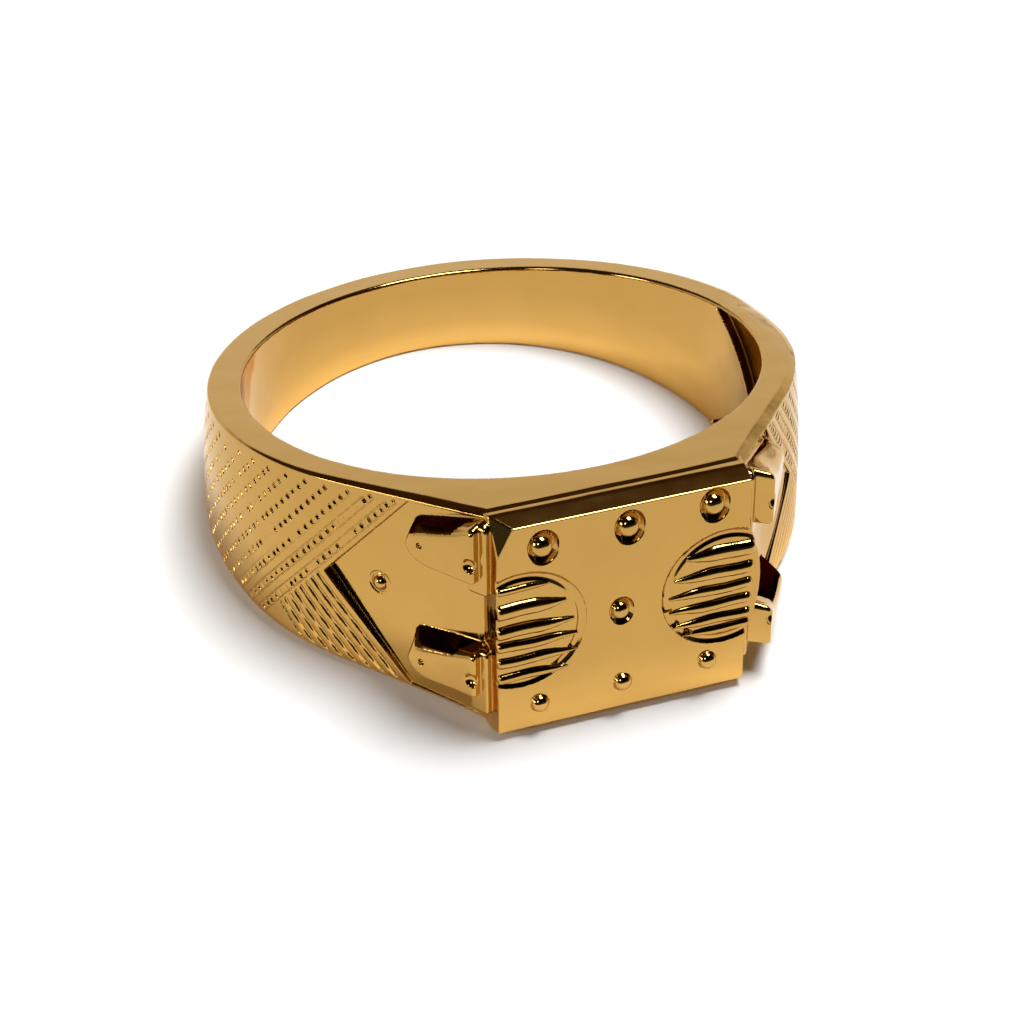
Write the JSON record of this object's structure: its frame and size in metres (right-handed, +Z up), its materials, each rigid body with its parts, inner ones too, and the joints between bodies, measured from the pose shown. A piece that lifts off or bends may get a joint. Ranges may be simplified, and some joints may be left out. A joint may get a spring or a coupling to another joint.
{
  "type": "finger ring",
  "caption": "Band ring with a square front plate, riveted side panels and ribbed grilles; worn on a finger, lies on its lower rim.",
  "frame": {"origin": "middle of the footprint, on the plane that the ring's lower rim lies on", "axes": "+Z up, -Y towards the front plate, +X to the right of someone facing the plate"},
  "size_m": [0.0222, 0.0238, 0.0086],
  "materials": {
    "ring": "polished gold plate"
  },
  "bodies": {
    "root": {"ring": "ring"}
  },
  "joints": []
}
